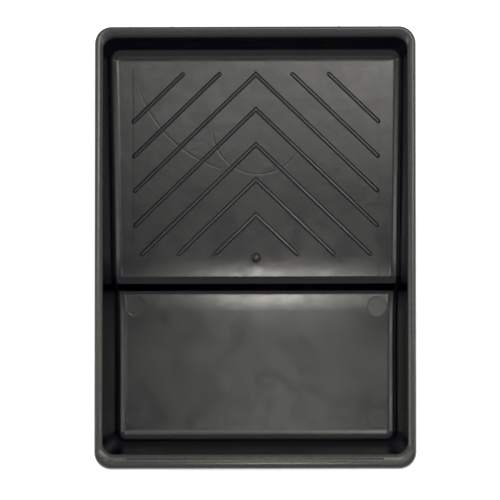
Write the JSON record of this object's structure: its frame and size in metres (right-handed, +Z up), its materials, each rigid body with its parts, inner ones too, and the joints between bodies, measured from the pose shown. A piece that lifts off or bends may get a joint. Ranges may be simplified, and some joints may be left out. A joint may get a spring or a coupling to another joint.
{
  "type": "paint roller tray",
  "caption": "One-piece moulded plastic tray with a flat paint well, a step and a chevron-ribbed ramp for loading and rolling off a paint roller.",
  "frame": {"origin": "centre of the tray's footprint, on the table that it stands on", "axes": "+X to the right seen from the well end, +Y from the well towards the ramp end, +Z up"},
  "size_m": [0.28, 0.3874, 0.062],
  "materials": {
    "black_plastic": "satin black polypropylene with a fine moulded grain"
  },
  "bodies": {
    "root": {"tray": "black_plastic"}
  },
  "joints": []
}
